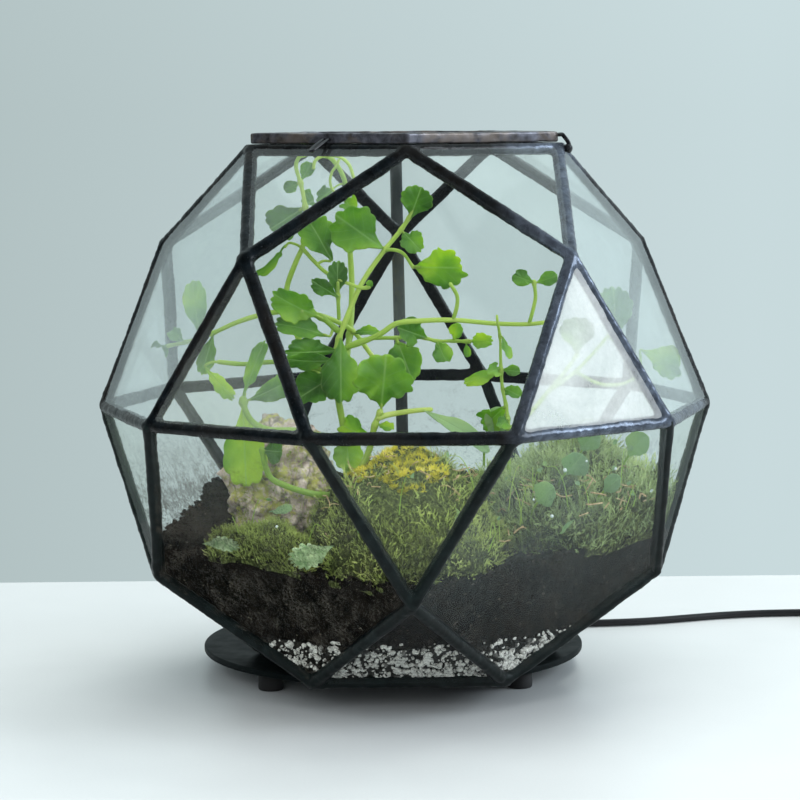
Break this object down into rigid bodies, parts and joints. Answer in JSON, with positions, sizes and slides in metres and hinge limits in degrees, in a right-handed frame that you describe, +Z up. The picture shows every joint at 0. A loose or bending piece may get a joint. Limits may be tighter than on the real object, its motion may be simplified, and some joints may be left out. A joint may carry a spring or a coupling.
{
  "type": "glass terrarium with plants",
  "caption": "Faceted leaded-glass terrarium with a hinged lid, moss, stone and green plants, on a round black lamp base with a thin cord.",
  "frame": {"origin": "on the table under the middle of the part's footprint, the cord, its coil and its plug left out", "axes": "+X to the right as seen from the front, +Y to the back where the lamp post stands, +Z up"},
  "size_m": [0.4576, 0.3174, 0.2768],
  "materials": {
    "pane_glass": "clear float glass, faintly green, hazy with condensation near the edges",
    "patinated_solder": "black patinated lead came and solder, satin, blue grey sheen",
    "black_wire": "glossy black wire",
    "black_steel": "matt black powder coat",
    "foot_rubber": "matt black rubber",
    "diffuser": "opal diffuser",
    "cable_rubber": "smooth black cable jacket",
    "plug_plastic": "fine matt black moulding",
    "plug_metal": "nickel plated steel",
    "perlite": "white and grey drainage granules",
    "soil": "dark moist potting soil, loose, about as dense as wood",
    "stone": "pinkish brown rough stone",
    "moss": "fine moss, green to golden",
    "leaf": "fleshy bright green leaves and stems"
  },
  "bodies": {
    "terrarium": {"glass_shoulder_tri_1": "pane_glass", "glass_shoulder_tri_5": "pane_glass", "glass_upper_pent_1": "pane_glass", "glass_shoulder_tri_2": "pane_glass", "glass_upper_pent_2": "pane_glass", "glass_shoulder_tri_3": "pane_glass", "glass_upper_pent_3": "pane_glass", "glass_shoulder_tri_4": "pane_glass", "glass_upper_pent_4": "pane_glass", "glass_upper_pent_5": "pane_glass", "glass_belt_up_tri_1": "pane_glass", "glass_belt_up_tri_2": "pane_glass", "glass_belt_up_tri_3": "pane_glass", "glass_belt_up_tri_4": "pane_glass", "glass_belt_up_tri_5": "pane_glass", "glass_lower_pent_1": "pane_glass", "glass_belt_down_tri_1": "pane_glass", "glass_belt_down_tri_2": "pane_glass", "glass_lower_pent_2": "pane_glass", "glass_belt_down_tri_3": "pane_glass", "glass_lower_pent_3": "pane_glass", "glass_belt_down_tri_4": "pane_glass", "glass_lower_pent_4": "pane_glass", "glass_belt_down_tri_5": "pane_glass", "glass_lower_pent_5": "pane_glass", "glass_foot_tri_1": "pane_glass", "glass_foot_tri_2": "pane_glass", "glass_foot_tri_3": "pane_glass", "glass_foot_tri_4": "pane_glass", "glass_foot_tri_5": "pane_glass", "glass_floor": "pane_glass", "came_frame": "patinated_solder", "hinge_rod": "patinated_solder", "base_disc": "black_steel", "foot_front_left": "foot_rubber", "foot_front_right": "foot_rubber", "foot_rear_right": "foot_rubber", "foot_rear_left": "foot_rubber", "lamp_post": "black_steel", "lamp_head": "black_steel", "lamp_lens": "diffuser", "strain_relief": "cable_rubber", "cord": "cable_rubber", "cord_coil": "cable_rubber", "cord_tail": "cable_rubber", "plug_body": "plug_plastic", "plug_shell": "plug_metal", "drainage_layer": "perlite", "soil": "soil", "stone": "stone", "moss_centre": "moss", "moss_right": "moss", "moss_left": "moss", "plant_main": "leaf", "plant_right": "leaf"},
    "lid": {"lid_glass": "pane_glass", "lid_frame": "patinated_solder", "hinge_tube": "patinated_solder", "lid_pull": "black_wire"}
  },
  "joints": [
    {"name": "lid_hinge", "type": "hinge", "parent": "terrarium", "child": "lid", "pos_m": [0.06201, 0.01623, 0.2751], "axis": [-0.309, 0.9511, 0], "range_deg": [0, 215]}
  ]
}
